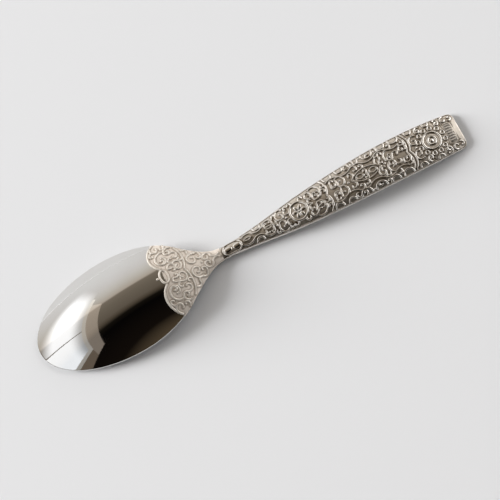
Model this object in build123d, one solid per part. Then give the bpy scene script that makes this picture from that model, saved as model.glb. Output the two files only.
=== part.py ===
# Teaspoon lying face down: a polished bowl and an arched handle, with raised ornament on their backs.
# Millimetres. X runs from the bowl's tip to the handle's end, Z is up, and the table is at Z = 0.
# The model is drawn with X = 0 at the bowl's tip, and placed with the origin under its middle.
import os
from math import acos, degrees, isclose, radians, sqrt, tan

from build123d import *

# Bowl
bowl_width = 29.0
bowl_front_length = 26.5
bowl_rear_length = 24.2
bowl_depth = 6.8
bowl_wall = 1.2
rim_thickness = 1.0
rim_width = 0.9
rim_pitch = 3.0
heel_gap = 5.2

# Neck and handle
total_length = 132.0
neck_length = 12.5
neck_width = 3.7
neck_edge = 1.6
neck_crown = 0.5
neck_lift = 0.4
shoulder_length = 26.0
shoulder_width = 9.3
shoulder_taper = 0.095
broad_width = 12.3
broad_place = 16.0
end_width = 11.1
end_taper = 0.07
end_corner = 1.8
arch_lift = 3.0
arch_place = 27.0
end_flat = 0.4
handle_edge = 1.0
handle_crown = 0.6

# Raised ornament: heights, line widths and the places of its main motifs
relief_height = 0.3
line_width = 0.5
bead_radius = 0.42
scroll_turn = 195.0
scroll_lead = 40.0
scroll_shrink = 0.55
border_width = 0.55
border_inset = 0.25
heel_oval_length = 2.9
heel_oval_width = 4.6
heel_oval_place = 4.0
heel_front = 6.2
heel_bracket_place = 5.8
panel_length = 5.8
panel_gap = 0.4
medallion_radius = 2.6
medallion_place = 24.5
petal_count = 6
lens_length = 9.0
lens_width = 4.2
middle_bracket_place = 7.3
divider_place = 16.0
divider_gap = 0.9
bracket_lean = 0.6
bracket_bulge = 1.0
end_ring_radius = 2.5
end_ring_place = 8.4
petal_ring_radius = 0.55
petal_ring_count = 12
plaque_length = 2.0
plaque_width = 6.0
plaque_place = 2.9

# Stations along X, counted from the tip
widest = bowl_front_length
heel = widest + bowl_rear_length - heel_gap
neck = heel + neck_length
shoulder = neck + shoulder_length
end = total_length
arch = end - arch_place
broad = end - broad_place
medallion = neck + medallion_place
lens = (shoulder + middle_bracket_place + end - divider_place) / 2
tall = bowl_width
half_bowl = bowl_width / 2
rim_slope = tan(radians(rim_pitch))
heel_share = (heel - widest) / bowl_rear_length
heel_half = half_bowl * sqrt(1 - heel_share**2)
heel_taper = -(half_bowl**2) * (heel - widest) / (bowl_rear_length**2 * heel_half)

# Profiles along X, each a chain of cubics through (place, value, slope). The underside of the handle's end
# dips below the table by end_flat, and is cut flat there.
bottom = [
    (0, 0, rim_slope),
    (heel, heel * rim_slope, rim_slope),
    (neck, neck_lift, 0),
    (arch, arch_lift, 0),
    (end, -end_flat, -2 * (arch_lift + end_flat) / arch_place),
]
edge_height = [
    (0, rim_thickness, 0),
    (widest, rim_thickness, 0),
    (neck, neck_edge, 0),
    (shoulder, handle_edge, 0),
    (end, handle_edge, 0),
]
crown = [
    (0, 0, 2 * bowl_depth / bowl_front_length),
    (widest, bowl_depth, 0),
    (heel, bowl_depth * (1 - heel_share**2), -2 * bowl_depth * heel_share / bowl_rear_length),
    (neck, neck_crown, 0),
    (shoulder, handle_crown, 0),
    (end, handle_crown, 0),
]
roundness = [
    (0, bowl_depth / half_bowl**2, 0),
    (heel, bowl_depth / half_bowl**2, 0),
    (neck, neck_crown / (neck_width / 2) ** 2, 0),
    (shoulder, handle_crown / (shoulder_width / 2) ** 2, 0),
    (broad, handle_crown / (broad_width / 2) ** 2, 0),
    (end, handle_crown / (broad_width / 2) ** 2, 0),
]
half_width = [
    (heel, heel_half, heel_taper),
    (neck, neck_width / 2, 0),
    (shoulder, shoulder_width / 2, shoulder_taper),
    (broad, broad_width / 2, 0),
    (end, end_width / 2, -end_taper),
]


def point_on(profile, x):
    # Value and slope of a profile at one place
    pieces = list(zip(profile, profile[1:]))
    start, stop = next((p for p in pieces if x <= p[1][0]), pieces[-1])
    span = stop[0] - start[0]
    t = (x - start[0]) / span
    rise = stop[1] - start[1]
    b = 3 * rise - span * (2 * start[2] + stop[2])
    c = span * (start[2] + stop[2]) - 2 * rise
    value = start[1] + span * start[2] * t + b * t**2 + c * t**3
    slope = start[2] + (2 * b * t + 3 * c * t**2) / span
    return value, slope


def controls(profile, x0, x1):
    # The four control values of the cubic that a profile follows between two places
    value0, slope0 = point_on(profile, x0)
    value1, slope1 = point_on(profile, x1)
    third = (x1 - x0) / 3
    return [value0, value0 + third * slope0, value1 - third * slope1, value1]


def places(x0, x1):
    return [x0 + (x1 - x0) * i / 3 for i in range(4)]


def rounded_sheet(x0, x1, ridge, bend, reach):
    # A sheet whose height is ridge(x) - bend(x) * y * y, from control values along X
    rows = []
    for x, height, curve in zip(places(x0, x1), ridge, bend):
        drop = curve * reach**2
        rows.append([(x, -reach, height - drop), (x, 0, height + drop), (x, reach, height - drop)])
    return Face.make_bezier_surface(rows)


def back_sheet(x0, x1):
    # The back of the spoon between two stations
    layers = [controls(profile, x0, x1) for profile in (bottom, edge_height, crown)]
    ridge = [sum(heights) for heights in zip(*layers)]
    return rounded_sheet(x0, x1, ridge, controls(roundness, x0, x1), bowl_width)


def below(sheet):
    return extrude(sheet, amount=3 * tall, dir=(0, 0, -1))


def underside(x0, x1):
    # The edge of the underside between two stations, straight along the rim
    heights = controls(bottom, x0, x1)
    points = list(zip(places(x0, x1), heights))
    run = (heights[3] - heights[0]) / 3
    steps = [heights[1] - heights[0], heights[2] - heights[1]]
    if all(isclose(step, run, abs_tol=1e-9) for step in steps):
        return Line(points[0], points[3])
    return Bezier(*points)


def above_underside(x0, x1):
    low = underside(x0, x1)
    first = low @ 0
    last = low @ 1
    rest = Polyline(last, (x1, tall), (x0, tall), first)
    return extrude(Plane.XZ * make_face([low, rest]), amount=bowl_width, both=True)


def side_edge(x0, x1, side, inset=0):
    values = [side * (value - inset) for value in controls(half_width, x0, x1)]
    return Bezier(*zip(places(x0, x1), values))


def bowl_plan():
    centre = (widest, 0)
    rear_turn = 90 - degrees(acos(heel_share))
    edges = [EllipticalCenterArc(centre, bowl_front_length, half_bowl, 90, arc_size=180)]
    ends = []
    for side in (1, -1):
        rear = EllipticalCenterArc(centre, bowl_rear_length, half_bowl, side * 90, arc_size=-side * rear_turn)
        taper = side_edge(heel, neck, side)
        edges += [rear, taper]
        ends.append(taper @ 1)
    edges.append(Line(*ends))
    return make_face(edges)


def handle_plan(start, inset=0):
    # The handle's outline from a place on the neck, drawn in by an inset
    stops = (start, shoulder, broad, end - inset)
    corners = []
    edges = []
    for side in (1, -1):
        runs = [side_edge(x0, x1, side, inset) for x0, x1 in zip(stops, stops[1:])]
        edges += runs
        corners += [runs[0] @ 0, runs[-1] @ 1]
    edges += [Line(corners[0], corners[2]), Line(corners[1], corners[3])]
    outline = make_face(edges)
    sharp = outline.vertices().sort_by(Axis.X)[-2:]
    return fillet(sharp, end_corner - inset)


def bowl_cavity():
    depth = bowl_depth + rim_thickness - bowl_wall
    front = bowl_front_length - rim_width
    rear = heel - widest
    rim = [(0, 0, rim_slope), (neck, neck * rim_slope, rim_slope)]
    hollow = [
        (widest - front, 0, 2 * depth / front),
        (widest, depth, 0),
        (widest + rear, 0, -2 * depth / rear),
    ]
    bend = [depth / (half_bowl - rim_width) ** 2] * 4
    solids = []
    for x0, x1 in ((-rim_width, widest), (widest, heel + rim_width)):
        ridge = [sum(pair) for pair in zip(controls(rim, x0, x1), controls(hollow, x0, x1))]
        solids.append(below(rounded_sheet(x0, x1, ridge, bend, bowl_width)))
    return solids[0] + solids[1]


def shaped(stations, plan):
    # The solid under the back, above the underside and inside the plan
    solid = Part()
    for x0, x1 in zip(stations, stations[1:]):
        solid += below(back_sheet(x0, x1)) & extrude(plan, amount=tall) & above_underside(x0, x1)
    return solid


def skin(stations):
    # A layer of the relief's height over the back
    layer = Part()
    for x0, x1 in zip(stations, stations[1:]):
        layer += extrude(back_sheet(x0, x1), amount=relief_height, dir=(0, 0, 1))
    return layer


def half_at(x):
    # Half the spoon's width at one place
    if x < heel:
        return half_bowl * sqrt(1 - ((x - widest) / bowl_rear_length) ** 2)
    return point_on(half_width, x)[0]


def field(x):
    # Half the width inside the border at one place
    return half_at(x) - border_inset - border_width


def stroke(*edges):
    return trace(edges, line_width=line_width)


def mirrored(sketch):
    return sketch + mirror(sketch, about=Plane.XZ)


def scroll(x, share, size, facing):
    # A mirrored pair of spirals, each two arcs and a bead, that bulge towards -X or +X. The centre
    # lies at a share of the field's half width, and the size is a share of it too.
    radius = size * field(x)
    turn = -facing
    angle = 90 + scroll_lead * facing
    start = Vector(x, share * field(x)) + Vector(radius, 0).rotate(Axis.Z, angle)
    along = Vector(turn, 0).rotate(Axis.Z, angle + 90)
    outer = JernArc(start, along, radius, turn * scroll_turn)
    inner = JernArc(outer @ 1, outer % 1, scroll_shrink * radius, turn * scroll_turn)
    return mirrored(stroke(outer, inner) + Pos(inner @ 1) * Circle(bead_radius))


def wave(x0, x1, share, rise, count):
    # A mirrored pair of lines that swing to and fro along the field, in equal bows
    stops = [x0 + (x1 - x0) * i / count for i in range(count + 1)]
    points = [(x, share * field(x)) for x in stops]
    edges = []
    for i in range(count):
        swing = rise * field(stops[i]) * (-1) ** i
        edges.append(SagittaArc(points[i], points[i + 1], swing))
    return mirrored(stroke(*edges))


def ring(x, y, radius):
    return Pos(x, y) * (Circle(radius + line_width / 2) - Circle(radius - line_width / 2))


def edge_bow(x, size):
    # A pair of rings centred on the field's edges, so that half of each shows
    return mirrored(ring(x, field(x), size * field(x)))


def bracket(x):
    # A line across the field in two bows that meet on the axis
    far = (x - bracket_lean, field(x - bracket_lean))
    return mirrored(stroke(SagittaArc((x, 0), far, -bracket_bulge)))


def beads(x, *shares):
    sketch = Sketch()
    for share in shares:
        sketch += mirrored(Pos(x, share * field(x)) * Circle(bead_radius))
    return sketch


def heel_oval():
    x = heel - heel_oval_place
    outer = Ellipse(heel_oval_length / 2, heel_oval_width / 2)
    inner = Ellipse(heel_oval_length / 2 - line_width, heel_oval_width / 2 - line_width)
    front_bead = Pos(x - heel_oval_length / 2 - bead_radius, 0) * Circle(bead_radius)
    return Pos(x, 0) * (outer - inner) + front_bead


def heel_edge():
    x = heel - heel_oval_place
    near = (x, heel_oval_width / 2)
    far = (x, field(x))
    return mirrored(stroke(SagittaArc(near, far, heel_front - heel_oval_place)))


def heel_bracket():
    return bracket(heel - heel_oval_place + heel_bracket_place)


def heel_scrolls():
    x = heel - heel_oval_place
    size = heel_oval_width
    return (
        scroll(x + 0.33 * size, 0.53, 0.2, -1)
        + scroll(x + 0.93 * size, 0.22, 0.16, 1)
        + scroll(x + 0.76 * size, 0.8, 0.13, -1)
        + scroll(heel + 0.38 * neck_length, 0.44, 0.32, -1)
        + wave(heel + 0.2 * neck_length, heel + 0.55 * neck_length, 0.86, 0.1, 3)
        + wave(heel + 0.58 * neck_length, neck - line_width, 0.45, 0.3, 2)
        + beads(x + 0.48 * size, 0.24, 0.86)
        + beads(heel + 0.28 * neck_length, 0.0)
        + beads(heel + 0.54 * neck_length, 0.0)
    )


def neck_panel():
    x = neck + panel_gap + panel_length / 2
    width = 2 * field(x) - line_width
    outer = SlotOverall(panel_length, width)
    inner = SlotOverall(panel_length - 2 * line_width, width - 2 * line_width)
    return Pos(x, 0) * (outer - inner) + beads(x, 0)


def medallion_ring():
    return ring(medallion, 0, medallion_radius)


def medallion_rosette():
    x = medallion
    petal = Pos(medallion_radius * 0.46, 0) * Ellipse(medallion_radius * 0.28, medallion_radius * 0.17)
    flower = Sketch() + [Rot(0, 0, 360 * i / petal_count) * petal for i in range(petal_count)]
    return Pos(x, 0) * (flower + Circle(bead_radius))


def neck_scrolls():
    # A chain of loops that opens from the neck's panel towards the medallion
    x0 = neck + panel_gap + panel_length
    x1 = medallion - 3 * medallion_radius
    step = (x1 - x0) / 3
    sketch = wave(x0, x1, 0.5, 0.32, 3)
    for i in range(3):
        sketch += beads(x0 + (i + 0.5) * step, 0.0)
    return sketch + beads(x0 + 1.5 * step, 0.84)


def medallion_scrolls():
    x = medallion
    size = medallion_radius
    sketch = scroll(x - 2 * size, 0.5, 0.46, -1) + scroll(x + 2.2 * size, 0.5, 0.44, 1)
    for side in (-1, 1):
        sketch += beads(x + side * 1.56 * size, 0.0)
        sketch += beads(x + side * 1.08 * size, 0.86)
    return sketch


def lens_ring():
    left = (lens - lens_length / 2, 0)
    right = (lens + lens_length / 2, 0)
    return mirrored(stroke(SagittaArc(left, right, (lens_width - line_width) / 2)))


def lens_scrolls():
    # Scrolls and bows around the lens, between two waves that reach from one bracket to the next
    first = shoulder + middle_bracket_place + bracket_bulge
    last = end - divider_place - bracket_bulge
    size = lens_length
    sketch = wave(first, last, 0.62, 0.11, 6) + beads(lens, 0.94)
    for side in (-1, 1):
        sketch += scroll(lens + side * 0.18 * size, 0.17, 0.17, -side)
        sketch += scroll(lens + side * 0.85 * size, 0.27, 0.26, -side)
        sketch += edge_bow(lens + side * 0.245 * size, 0.3)
        sketch += edge_bow(lens + side * 0.73 * size, 0.22)
        sketch += edge_bow(lens + side * 1.16 * size, 0.26)
        sketch += beads(lens + side * 0.62 * size, 0.0)
        sketch += beads(lens + side * 1.1 * size, 0.0, 0.38)
        sketch += beads(lens + side * 0.49 * size, 0.9)
        sketch += beads(lens + side * 0.95 * size, 0.9)
    return sketch


def middle_bracket():
    return bracket(shoulder + middle_bracket_place)


def divider():
    x = end - divider_place
    return bracket(x) + bracket(x + divider_gap)


def end_scrolls():
    x = end - end_ring_place
    size = end_ring_radius
    return (
        scroll(x - 1.8 * size, 0.4, 0.24, -1)
        + scroll(x - 0.9 * size, 0.82, 0.16, -1)
        + scroll(x + 1.2 * size, 0.82, 0.16, 1)
        + edge_bow(x - 1.98 * size, 0.18)
        + edge_bow(x + 0.15 * size, 0.16)
        + beads(x - 1.9 * size, 0.0)
        + beads(x + 2.04 * size, 0.88)
    )


def end_petals():
    # A wreath of small rings around the concentric rings
    wreath = end_ring_radius + line_width + petal_ring_radius
    sketch = Sketch()
    for i in range(petal_ring_count):
        centre = Vector(wreath, 0).rotate(Axis.Z, 360 * (i + 0.5) / petal_ring_count)
        sketch += ring(end - end_ring_place + centre.X, centre.Y, petal_ring_radius)
    return sketch


def end_rings():
    x = end - end_ring_place
    return ring(x, 0, end_ring_radius) + ring(x, 0, end_ring_radius - 2 * line_width)


def end_boss():
    return Pos(end - end_ring_place, 0) * Circle(end_ring_radius / 4)


def end_plaque():
    return Pos(end - plaque_place, 0) * RectangleRounded(plaque_length, plaque_width, line_width)


def border():
    start = neck + panel_gap
    return handle_plan(start, border_inset) - handle_plan(start, border_inset + border_width)


def raised(sketch, layer):
    return extrude(sketch, amount=tall) & layer


def laid_out(groups, inside):
    # Trims each group to the field, and stops it where it meets one that was laid before it
    taken = Sketch()
    trimmed = {}
    for name, sketch in groups.items():
        trimmed[name] = (sketch & inside) - taken
        taken += trimmed[name]
    return trimmed


bowl_stations = (0, widest, heel, neck)
handle_stations = (neck, shoulder, arch, broad, end)
heel_field = bowl_plan()
handle_field = handle_plan(neck + panel_gap / 2, border_inset + border_width)
heel_groups = {
    "heel_oval": heel_oval(),
    "heel_edge": heel_edge(),
    "heel_bracket": heel_bracket(),
    "heel_scrolls": heel_scrolls(),
}
handle_groups = {
    "neck_panel": neck_panel(),
    "medallion_ring": medallion_ring(),
    "medallion_rosette": medallion_rosette(),
    "lens_ring": lens_ring(),
    "middle_bracket": middle_bracket(),
    "divider": divider(),
    "end_rings": end_rings(),
    "end_boss": end_boss(),
    "end_plaque": end_plaque(),
    "end_petals": end_petals(),
    "neck_scrolls": neck_scrolls(),
    "medallion_scrolls": medallion_scrolls(),
    "lens_scrolls": lens_scrolls(),
    "end_scrolls": end_scrolls(),
}
bowl_skin = skin(bowl_stations[1:])
handle_skin = skin(handle_stations)
pieces = {
    "bowl": shaped(bowl_stations, bowl_plan()) - bowl_cavity(),
    "handle": shaped(handle_stations, handle_plan(neck)),
    "handle_border": raised(border(), handle_skin),
}
for name, sketch in laid_out(heel_groups, heel_field).items():
    pieces[name] = raised(sketch, bowl_skin)
for name, sketch in laid_out(handle_groups, handle_field).items():
    pieces[name] = raised(sketch, handle_skin)

os.makedirs("parts", exist_ok=True)
for name, shape in pieces.items():
    print(name, shape.is_valid, len(shape.solids()), round(shape.volume, 2))
    export_step(Pos(-total_length / 2, 0, 0) * shape, f"parts/{name}.step")
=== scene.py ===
from math import acos, atan2, cos, hypot, pi, radians, sin, sqrt, tan

import bpy
import numpy as np
from mathutils import Matrix, Vector
from mathutils.kdtree import KDTree


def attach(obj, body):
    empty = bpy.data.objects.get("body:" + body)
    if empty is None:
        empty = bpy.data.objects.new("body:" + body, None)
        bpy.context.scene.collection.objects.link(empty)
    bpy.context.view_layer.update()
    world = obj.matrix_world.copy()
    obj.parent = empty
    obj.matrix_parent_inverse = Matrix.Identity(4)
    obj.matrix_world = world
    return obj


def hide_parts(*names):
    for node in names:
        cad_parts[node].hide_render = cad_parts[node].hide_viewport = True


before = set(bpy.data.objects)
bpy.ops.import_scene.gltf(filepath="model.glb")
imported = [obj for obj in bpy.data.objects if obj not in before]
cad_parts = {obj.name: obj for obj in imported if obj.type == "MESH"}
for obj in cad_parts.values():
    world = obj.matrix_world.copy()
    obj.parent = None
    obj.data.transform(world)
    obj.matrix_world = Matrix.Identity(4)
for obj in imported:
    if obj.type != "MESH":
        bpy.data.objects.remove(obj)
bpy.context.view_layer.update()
mm = 0.001
tiny = 1e-6  # places in mm that are closer than this are one
print("frame loaded:", len(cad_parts), "nodes")

# Teaspoon lying face down. Sizes in mm, X counted from the bowl's tip to the handle's end.
spoon = {
    "length": 132.0, "bowlWidth": 29.0, "bowlFront": 26.5, "bowlRear": 24.2, "bowlDepth": 6.8,
    "bowlWall": 1.2, "rimThickness": 1.0, "rimWidth": 0.9, "rimPitch": 3.0, "heelGap": 5.2,
    "neckLength": 12.5, "neckWidth": 3.7, "neckEdge": 1.6, "neckCrown": 0.5, "neckLift": 0.4,
    "shoulderLength": 26.0, "shoulderWidth": 9.3, "shoulderTaper": 0.095,
    "broadWidth": 12.3, "broadPlace": 16.0, "endWidth": 11.1, "endTaper": 0.07, "endCorner": 1.8,
    "archLift": 3.0, "archPlace": 27.0, "endFlat": 0.4, "handleEdge": 1.0, "handleCrown": 0.6,
}
widest = spoon["bowlFront"]
heel = widest + spoon["bowlRear"] - spoon["heelGap"]
neck = heel + spoon["neckLength"]
shoulder = neck + spoon["shoulderLength"]
end = spoon["length"]
arch = end - spoon["archPlace"]
broad = end - spoon["broadPlace"]
halfBowl = spoon["bowlWidth"] / 2
halfHollow = halfBowl - spoon["rimWidth"]
rimSlope = tan(radians(spoon["rimPitch"]))
heelShare = (heel - widest) / spoon["bowlRear"]
heelHalf = halfBowl * sqrt(1 - heelShare**2)
heelTaper = -(halfBowl**2) * (heel - widest) / (spoon["bowlRear"] ** 2 * heelHalf)
cavityDepth = spoon["bowlDepth"] + spoon["rimThickness"] - spoon["bowlWall"]

# The spoon's long lines, each a chain of cubics through (place, value, slope). The underside of the
# handle's end dips below the table and is cut flat there.
bottomLine = [
    (0, 0, rimSlope), (heel, heel * rimSlope, rimSlope), (neck, spoon["neckLift"], 0),
    (arch, spoon["archLift"], 0),
    (end, -spoon["endFlat"], -2 * (spoon["archLift"] + spoon["endFlat"]) / spoon["archPlace"]),
]
edgeLine = [
    (0, spoon["rimThickness"], 0), (widest, spoon["rimThickness"], 0), (neck, spoon["neckEdge"], 0),
    (shoulder, spoon["handleEdge"], 0), (end, spoon["handleEdge"], 0),
]
crownLine = [
    (0, 0, 2 * spoon["bowlDepth"] / spoon["bowlFront"]), (widest, spoon["bowlDepth"], 0),
    (heel, spoon["bowlDepth"] * (1 - heelShare**2),
     -2 * spoon["bowlDepth"] * heelShare / spoon["bowlRear"]),
    (neck, spoon["neckCrown"], 0), (shoulder, spoon["handleCrown"], 0), (end, spoon["handleCrown"], 0),
]
roundLine = [
    (0, spoon["bowlDepth"] / halfBowl**2, 0), (heel, spoon["bowlDepth"] / halfBowl**2, 0),
    (neck, spoon["neckCrown"] / (spoon["neckWidth"] / 2) ** 2, 0),
    (shoulder, spoon["handleCrown"] / (spoon["shoulderWidth"] / 2) ** 2, 0),
    (broad, spoon["handleCrown"] / (spoon["broadWidth"] / 2) ** 2, 0),
    (end, spoon["handleCrown"] / (spoon["broadWidth"] / 2) ** 2, 0),
]
halfLine = [
    (heel, heelHalf, heelTaper), (neck, spoon["neckWidth"] / 2, 0),
    (shoulder, spoon["shoulderWidth"] / 2, spoon["shoulderTaper"]), (broad, spoon["broadWidth"] / 2, 0),
    (end, spoon["endWidth"] / 2, -spoon["endTaper"]),
]


def clamp(share):
    return min(1, max(0, share))


def alongLine(line, x):
    # The value at x of a chain of cubics
    pairs = list(zip(line, line[1:]))
    start, stop = next((pair for pair in pairs if x <= pair[1][0]), pairs[-1])
    span = stop[0] - start[0]
    t = (x - start[0]) / span
    rise = stop[1] - start[1]
    b = 3 * rise - span * (2 * start[2] + stop[2])
    c = span * (start[2] + stop[2]) - 2 * rise
    return start[1] + span * start[2] * t + b * t**2 + c * t**3


def bottomAt(x):
    return alongLine(bottomLine, x)


def edgeAt(x):
    return bottomAt(x) + alongLine(edgeLine, x)


def backAt(x, y):
    return edgeAt(x) + alongLine(crownLine, x) - alongLine(roundLine, x) * y * y


def hollowReach(x):
    # How far the bowl's hollow reaches from its deepest place, to the front or to the rear
    return spoon["bowlFront"] - spoon["rimWidth"] if x < widest else heel - widest


def cavityAt(x, y):
    hollow = cavityDepth * (1 - ((x - widest) / hollowReach(x)) ** 2)
    return x * rimSlope + hollow - cavityDepth * (y / halfHollow) ** 2


def halfAt(x):
    if x < heel:
        reach = spoon["bowlFront"] if x < widest else spoon["bowlRear"]
        return halfBowl * sqrt(max(0, 1 - ((x - widest) / reach) ** 2))
    return alongLine(halfLine, x)


def inFrame(x, y, z):
    return Vector(((x - spoon["length"] / 2) * mm, y * mm, z * mm))


def deselectAll():
    if bpy.context.object and bpy.context.object.mode != "OBJECT":
        bpy.ops.object.mode_set(mode="OBJECT")
    bpy.ops.object.select_all(action="DESELECT")


def pick(*objects):
    # Only these are selected, and the first is active
    deselectAll()
    for obj in objects:
        obj.select_set(True)
    bpy.context.view_layer.objects.active = objects[0]


mergeReach = 1e-7  # in metres, as the meshes are


def tidyMesh(obj, sharpAngle):
    # Doubles merged, faces outwards, smooth apart from true corners
    pick(obj)
    bpy.ops.object.mode_set(mode="EDIT")
    bpy.ops.mesh.select_all(action="SELECT")
    bpy.ops.mesh.remove_doubles(threshold=mergeReach)
    bpy.ops.mesh.normals_make_consistent(inside=False)
    bpy.ops.object.mode_set(mode="OBJECT")
    bpy.ops.object.shade_smooth_by_angle(angle=radians(sharpAngle))


def shapedBall(name, rings):
    # A ball whose rings of latitude are moved to the given rings of points. The first and last ring
    # are single points, at the ball's poles.
    around = len(rings[1])
    deselectAll()
    bpy.ops.mesh.primitive_uv_sphere_add(segments=around, ring_count=len(rings) - 1, radius=1)
    ball = bpy.context.object
    ball.name = name
    ball.data.name = name
    for vertex in ball.data.vertices:
        row = round(acos(max(-1, min(1, vertex.co.z))) / pi * (len(rings) - 1))
        ring = rings[row]
        turn = round(atan2(vertex.co.y, vertex.co.x) / (2 * pi) * around) % around
        vertex.co = ring[turn % len(ring)]
    ball.data.update()
    return ball


def finishPiece(piece, slotName, material, *nodeNames):
    piece.data.materials.clear()
    piece.data.materials.append(material)
    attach(piece, "root")
    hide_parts(*nodeNames)


# Materials
def linearColour(hexColour):
    values = [int(hexColour[i : i + 2], 16) / 255 for i in (1, 3, 5)]
    return [v / 12.92 if v <= 0.04045 else ((v + 0.055) / 1.055) ** 2.4 for v in values] + [1]


def connect(tree, node, inputs):
    # Each input gets a link, a linear colour from a hex value, or a plain value
    for key, value in inputs.items():
        if isinstance(value, bpy.types.NodeSocket):
            tree.links.new(value, node.inputs[key])
        else:
            node.inputs[key].default_value = linearColour(value) if isinstance(value, str) else value


def addNode(tree, kind, settings=None, inputs=None):
    node = tree.nodes.new(kind)
    for key, value in (settings or {}).items():
        setattr(node, key, value)
    connect(tree, node, inputs or {})
    return node


def newMaterial(name):
    material = bpy.data.materials.new(name)
    material.use_nodes = True
    shader = material.node_tree.nodes["Principled BSDF"]
    return material, material.node_tree, shader


def readPiece(tree, *attributeNames):
    # The piece's Object coordinates and its own attributes
    sockets = [addNode(tree, "ShaderNodeTexCoord").outputs["Object"]]
    for name in attributeNames:
        sockets.append(addNode(tree, "ShaderNodeAttribute", {"attribute_name": name}).outputs["Fac"])
    return sockets


def perMetre(sizeInMm):
    return 1 / (sizeInMm * mm)


inColour = {"data_type": "RGBA"}  # for a Mix node, whose share is then input 0 and whose colours are 6 and 7

# The heel's darker colour is tarnish together with painted shade at the foot of its lines
mirrorSteel = {
    "colour": "#ebeae8", "dull": "#e3e1dd", "roughness": 0.02, "hazeRoughness": 0.06,
    "hazeSize": 9.0, "wipeSize": 0.5, "wipeStretch": 22.0, "wipeDepth": 0.05, "wipeHeight": 0.02,
    "heel": "#fff5ea", "heelTarnishAndShade": "#cbbdae", "heelRoughness": 0.6, "heelMetal": 0.48,
}


def makeMirrorSteel():
    # Stainless steel, buffed to a mirror: the eye sees the room in it, softened by a breath of haze and
    # hairline wipes that run along the spoon. The wipes are drawn wider than real, so that they show.
    # The struck ground on the heel is blasted, not buffed, so it is matte and pale and scatters some light.
    # At the foot of its lines it darkens with tarnish and painted shade.
    values = mirrorSteel
    material, tree, shader = newMaterial("mirrorPolishedSteel")
    place, ground, tarnishAndShade = readPiece(tree, "ground", "tarnishAndShade")
    haze = addNode(tree, "ShaderNodeTexNoise", None, {
        "Vector": place, "Scale": perMetre(values["hazeSize"]), "Detail": 4.0, "Roughness": 0.6})
    tone = addNode(tree, "ShaderNodeMix", inColour, {
        0: haze.outputs["Fac"], 6: values["colour"], 7: values["dull"]})
    gloss = addNode(tree, "ShaderNodeMapRange", None, {
        "Value": haze.outputs["Fac"], "From Min": 0.35, "From Max": 0.8,
        "To Min": values["roughness"], "To Max": values["hazeRoughness"]})
    # The heel's ground, darkened at the foot of its lines by tarnish with painted shade
    heel = addNode(tree, "ShaderNodeMix", inColour, {
        0: tarnishAndShade, 6: values["heel"], 7: values["heelTarnishAndShade"]})
    toneOrHeel = addNode(tree, "ShaderNodeMix", inColour, {
        0: ground, 6: tone.outputs[2], 7: heel.outputs[2]})
    glossOrHeel = addNode(tree, "ShaderNodeMapRange", None, {
        "Value": ground, "To Min": gloss.outputs["Result"], "To Max": values["heelRoughness"]})
    along = addNode(tree, "ShaderNodeMapping", None, {
        "Vector": place, "Scale": (1 / values["wipeStretch"], 1, 1)})
    wipes = addNode(tree, "ShaderNodeTexNoise", None, {
        "Vector": along.outputs["Vector"], "Scale": perMetre(values["wipeSize"]), "Detail": 3.0})
    bump = addNode(tree, "ShaderNodeBump", None, {
        "Height": wipes.outputs["Fac"], "Strength": values["wipeDepth"],
        "Distance": values["wipeHeight"] * mm})
    metal = addNode(tree, "ShaderNodeMapRange", None, {
        "Value": ground, "To Min": 1.0, "To Max": values["heelMetal"]})
    connect(tree, shader, {
        "Metallic": metal.outputs["Result"], "Base Color": toneOrHeel.outputs[2],
        "Roughness": glossOrHeel.outputs["Result"], "Normal": bump.outputs["Normal"]})
    return material


# The dark colour at the foot of the lines is tarnish together with painted shade
struckSteel = {
    "colour": "#fff6ea", "tarnishAndShade": "#796a56", "polished": "#d9d5cf", "browning": 0.38,
    "roughness": 0.36, "polishedRoughness": 0.1, "patchSize": 3.0,
    "grainSize": 0.35, "grainDepth": 0.25, "grainHeight": 0.06,
}


def makeStruckSteel():
    # Stainless steel, struck in a die: a satin ground, browned in patches, darkened at the foot of the lines
    # by tarnish with painted shade where the crease would be in shade, and bare polished metal on the edges
    # and the underside. The ground's grain is drawn coarser than real, so that it shows.
    values = struckSteel
    material, tree, shader = newMaterial("dieStruckSteel")
    place, ground, tarnishAndShade = readPiece(tree, "ground", "tarnishAndShade")
    patches = addNode(tree, "ShaderNodeTexNoise", None, {
        "Vector": place, "Scale": perMetre(values["patchSize"]), "Detail": 5.0, "Roughness": 0.65})
    grain = addNode(tree, "ShaderNodeTexNoise", None, {
        "Vector": place, "Scale": perMetre(values["grainSize"]), "Detail": 2.0})
    browning = addNode(tree, "ShaderNodeMapRange", None, {
        "Value": patches.outputs["Fac"], "From Min": 0.3, "From Max": 0.75,
        "To Min": 0.0, "To Max": values["browning"]})
    # Random browning, or tarnish with painted shade at the foot of a line, whichever is stronger
    browningOrTarnishShade = addNode(tree, "ShaderNodeMath", {"operation": "MAXIMUM"}, {
        0: browning.outputs["Result"], 1: tarnishAndShade})
    recess = addNode(tree, "ShaderNodeMix", inColour, {
        0: browningOrTarnishShade.outputs["Value"], 6: values["colour"], 7: values["tarnishAndShade"]})
    tone = addNode(tree, "ShaderNodeMix", inColour, {
        0: ground, 6: values["polished"], 7: recess.outputs[2]})
    gloss = addNode(tree, "ShaderNodeMapRange", None, {
        "Value": ground, "To Min": values["polishedRoughness"], "To Max": values["roughness"]})
    depth = addNode(tree, "ShaderNodeMath", {"operation": "MULTIPLY"}, {
        0: ground, 1: values["grainDepth"]})
    bump = addNode(tree, "ShaderNodeBump", None, {
        "Height": grain.outputs["Fac"], "Strength": depth.outputs["Value"],
        "Distance": values["grainHeight"] * mm})
    connect(tree, shader, {
        "Metallic": 1.0, "Base Color": tone.outputs[2],
        "Roughness": gloss.outputs["Result"], "Normal": bump.outputs["Normal"]})
    return material


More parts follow.
